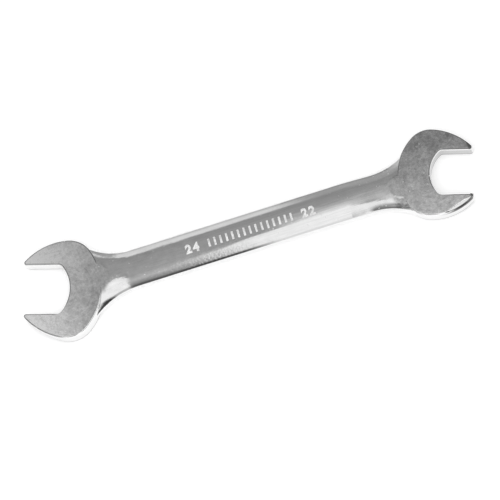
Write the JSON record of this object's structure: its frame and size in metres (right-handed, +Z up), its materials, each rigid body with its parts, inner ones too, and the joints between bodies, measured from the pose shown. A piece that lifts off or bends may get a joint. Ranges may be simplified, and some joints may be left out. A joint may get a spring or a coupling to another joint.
{
  "type": "open end wrench",
  "caption": "Double open end wrench: one chrome plated forging with a thick open jaw at each end of an oval shank, both jaws turned the same way from it.",
  "frame": {"origin": "middle of the wrench's plan, level with the undersides of both heads", "axes": "+X along the shank from the 24 mm head to the 22 mm head; +Z up, out of the side that carries the raised figures; +Y across the shank"},
  "size_m": [0.2288, 0.0476, 0.0095],
  "materials": {
    "chromed_steel": "polished bright chrome on forged steel, with the faces of the heads ground"
  },
  "bodies": {
    "root": {"wrench_forging": "chromed_steel"}
  },
  "joints": []
}
